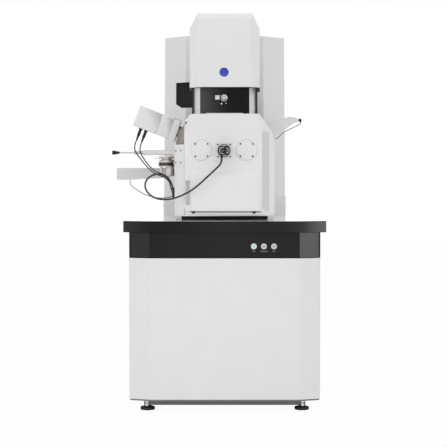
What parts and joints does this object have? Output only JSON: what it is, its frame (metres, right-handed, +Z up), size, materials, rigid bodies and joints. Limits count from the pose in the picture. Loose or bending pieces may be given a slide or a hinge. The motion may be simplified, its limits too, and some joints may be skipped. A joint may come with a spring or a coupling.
{
  "type": "scanning electron microscope",
  "caption": "Scanning electron microscope on a cabinet plinth: column and gun cover over a specimen chamber with a sliding stage door, detectors, and a service tower behind.",
  "frame": {"origin": "floor level, middle of the machine's footprint", "axes": "+Z up, front of the machine faces -Y, +X to the right seen from the front"},
  "size_m": [0.914, 1, 1.678],
  "materials": {
    "white_paint": "satin",
    "grey_paint": "satin",
    "graphite_paint": "satin",
    "dark_paint": "matte",
    "black_paint": "satin",
    "cast_metal": "machined",
    "aluminium": "anodised",
    "steel": "brushed",
    "chrome": "polished",
    "brass": "nickel-plated in part",
    "white_plastic": "satin",
    "grey_plastic": "satin",
    "green_plastic": "satin",
    "black_plastic": "satin",
    "rubber": "matte",
    "cord_rubber": "satin"
  },
  "bodies": {
    "machine": {"base_frame": "dark_paint", "frame_posts": "dark_paint", "front_panel": "white_paint", "side_panels": "white_paint", "rear_panel": "white_paint", "fascia": "graphite_paint", "bench_slab": "graphite_paint", "electronics_crate": "dark_paint", "turbo_pump": "steel", "isolation_mounts": "rubber", "base_plate": "steel", "chamber_skirt": "rubber", "chamber_body": "cast_metal", "chamber_cover": "white_paint", "side_port_flange": "white_paint", "objective_lens": "steel", "column_tube": "steel", "electron_gun": "steel", "column_housing": "black_paint", "column_side_trims": "grey_paint", "gun_cover": "white_paint", "tower_cover": "white_paint", "tower_base_cover": "grey_paint", "tower_rear_panel": "white_paint", "column_support": "black_paint", "left_detector_housing": "white_plastic", "left_detector_nose": "cast_metal", "detector_connectors": "black_plastic", "rod_support_bar": "cast_metal", "port_valve": "brass", "gauge_head": "chrome", "x_ray_detector": "grey_paint", "right_detector": "grey_paint", "right_detector_plug": "black_plastic", "cable_glands": "black_plastic", "detector_cable_front": "cord_rubber", "detector_cable_rear": "cord_rubber", "x_ray_cable": "cord_rubber", "right_detector_cable": "cord_rubber"},
    "stage_door": {"door_plate": "cast_metal", "door_cover": "white_paint", "drive_cover": "white_paint", "front_port_flanges": "white_paint", "chamber_camera": "black_plastic", "guide_rods": "steel", "camera_cable": "cord_rubber"},
    "z_stage": {"z_carriage": "aluminium"},
    "y_stage": {"y_carriage": "aluminium"},
    "x_stage": {"x_carriage": "aluminium"},
    "tilt_stage": {"tilt_cradle": "aluminium"},
    "specimen_table": {"rotation_table": "aluminium"},
    "front_left_foot": {"foot_front_left": "rubber"},
    "front_right_foot": {"foot_front_right": "rubber"},
    "rear_left_foot": {"foot_rear_left": "rubber"},
    "rear_right_foot": {"foot_rear_right": "rubber"},
    "button_on": {"on_button": "green_plastic"},
    "button_standby": {"standby_button": "grey_plastic"},
    "button_off": {"off_button": "grey_plastic"},
    "aperture": {"aperture_knob": "steel"},
    "retractable_detector": {"detector_rod": "steel"}
  },
  "joints": [
    {"name": "front_left_foot_turn", "type": "hinge", "parent": "machine", "child": "front_left_foot", "pos_m": [-0.29145, -0.39, 0.01], "axis": [0, 0, 1], "range_deg": [-720, 720]},
    {"name": "front_right_foot_turn", "type": "hinge", "parent": "machine", "child": "front_right_foot", "pos_m": [0.36055, -0.39, 0.01], "axis": [0, 0, 1], "range_deg": [-720, 720]},
    {"name": "rear_left_foot_turn", "type": "hinge", "parent": "machine", "child": "rear_left_foot", "pos_m": [-0.29145, 0.34, 0.01], "axis": [0, 0, 1], "range_deg": [-720, 720]},
    {"name": "rear_right_foot_turn", "type": "hinge", "parent": "machine", "child": "rear_right_foot", "pos_m": [0.36055, 0.34, 0.01], "axis": [0, 0, 1], "range_deg": [-720, 720]},
    {"name": "on_press", "type": "slide", "parent": "machine", "child": "button_on", "axis": [0, 1, 0], "range_m": [0, 0.0025], "stiffness_N_per_m": 500, "springref_m": -0.002},
    {"name": "standby_press", "type": "slide", "parent": "machine", "child": "button_standby", "axis": [0, 1, 0], "range_m": [0, 0.0025], "stiffness_N_per_m": 500, "springref_m": -0.002},
    {"name": "off_press", "type": "slide", "parent": "machine", "child": "button_off", "axis": [0, 1, 0], "range_m": [0, 0.0025], "stiffness_N_per_m": 500, "springref_m": -0.002},
    {"name": "aperture_turn", "type": "hinge", "parent": "machine", "child": "aperture", "pos_m": [0.03155, -0.293, 1.3196], "axis": [0, 1, 0], "range_deg": [-170, 170]},
    {"name": "detector_insertion", "type": "slide", "parent": "machine", "child": "retractable_detector", "axis": [1, 0, 0], "range_m": [0, 0.06]},
    {"name": "stage_door_slide", "type": "slide", "parent": "machine", "child": "stage_door", "axis": [0, -1, 0], "range_m": [0, 0.3]},
    {"name": "stage_z", "type": "slide", "parent": "stage_door", "child": "z_stage", "axis": [0, 0, 1], "range_m": [0, 0.05]},
    {"name": "stage_y", "type": "slide", "parent": "z_stage", "child": "y_stage", "axis": [0, 1, 0], "range_m": [-0.0625, 0.0625]},
    {"name": "stage_x", "type": "slide", "parent": "y_stage", "child": "x_stage", "axis": [1, 0, 0], "range_m": [-0.0625, 0.0625]},
    {"name": "stage_tilt", "type": "hinge", "parent": "x_stage", "child": "tilt_stage", "pos_m": [0.03455, -0.16, 1.012], "axis": [0, 1, 0], "range_deg": [-10, 90]},
    {"name": "stage_rotation", "type": "hinge", "parent": "tilt_stage", "child": "specimen_table", "pos_m": [0.03455, -0.16, 1.02], "axis": [0, 0, 1], "continuous": true}
  ]
}
